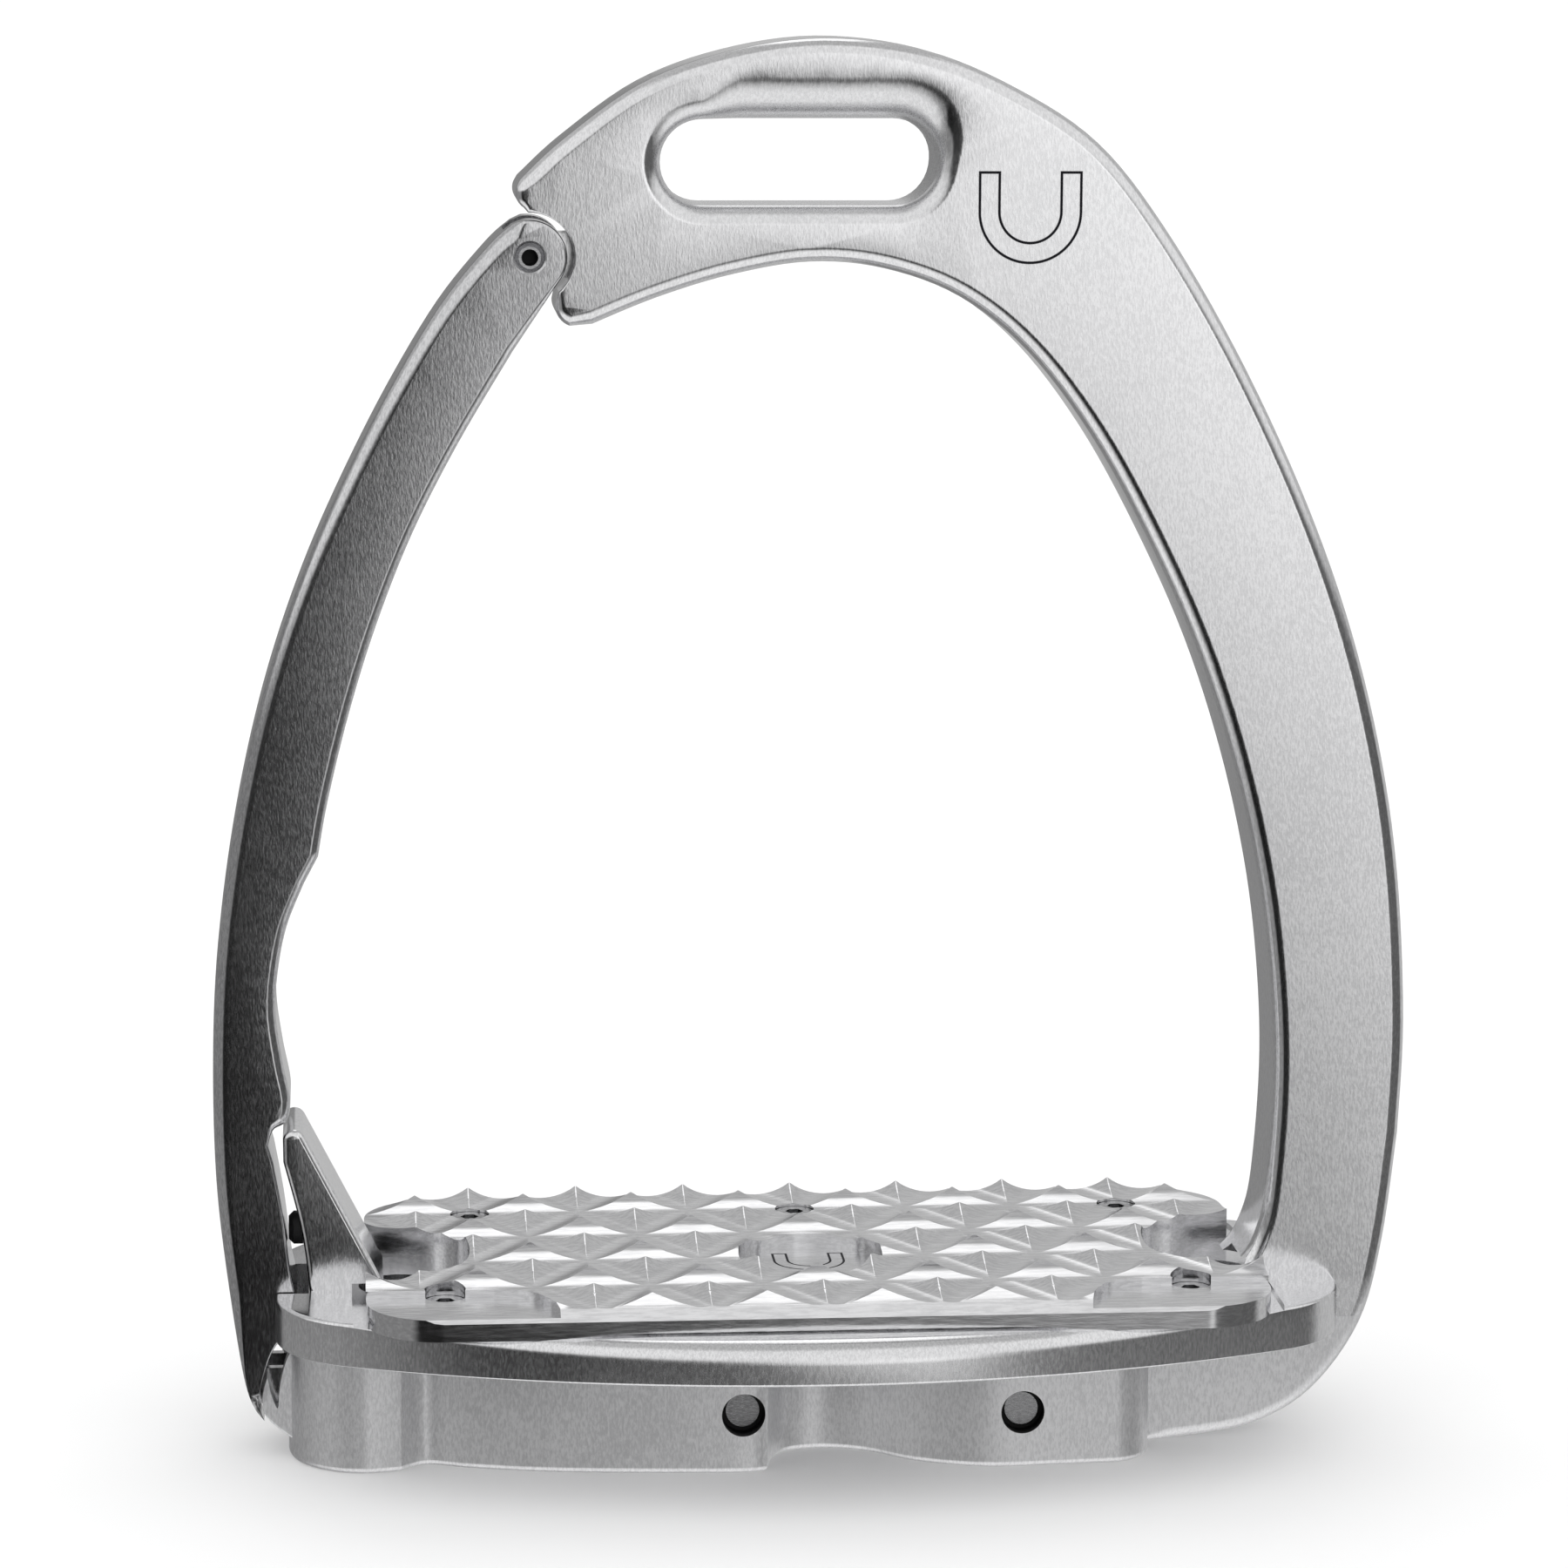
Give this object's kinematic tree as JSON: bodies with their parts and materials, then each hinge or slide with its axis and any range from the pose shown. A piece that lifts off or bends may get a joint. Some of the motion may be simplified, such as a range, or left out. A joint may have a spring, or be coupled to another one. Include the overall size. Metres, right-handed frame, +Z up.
{
  "type": "stirrup iron",
  "caption": "Safety stirrup iron with a side arm that swings outward from a shoulder hinge, and a spiked tread.",
  "frame": {"origin": "middle of the tread in plan, on the flat underside that the iron stands on", "axes": "+Z up through the strap slot, +X away from the release arm, +Y through the thickness"},
  "size_m": [0.1432, 0.066, 0.1692],
  "materials": {
    "body_metal": "fine brushed faces with polished edges",
    "arm_metal": "fine brushed faces with polished edges",
    "tread_metal": "bright milled",
    "steel": "turned and ground",
    "spring_steel": "blued spring steel",
    "bronze": "plain bearing bronze",
    "rubber": "matt black"
  },
  "bodies": {
    "body": {"frame": "body_metal", "hinge_bush_front": "bronze", "hinge_bush_rear": "bronze", "tread_plate": "tread_metal", "tread_screws_front": "steel", "tread_screws_rear": "steel", "latch_blade": "spring_steel", "latch_anchor": "steel", "blade_screws": "steel", "latch_hook": "spring_steel", "hook_rivets": "steel", "latch_pins": "steel", "fulcrum_roller": "bronze", "adjuster_screw": "steel", "base_cover": "body_metal", "cover_gasket": "rubber", "cover_screws": "steel", "foot_bumper": "rubber"},
    "arm": {"release_arm": "arm_metal", "hinge_pin": "steel", "hinge_nut": "steel", "strike_pin": "steel"}
  },
  "joints": [
    {"name": "arm_hinge", "type": "hinge", "parent": "body", "child": "arm", "pos_m": [-0.0335, 0, 0.1439], "axis": [0, 1, 0], "range_deg": [0, 75], "deforming": ["latch_blade", "latch_hook", "hook_rivets"]}
  ]
}
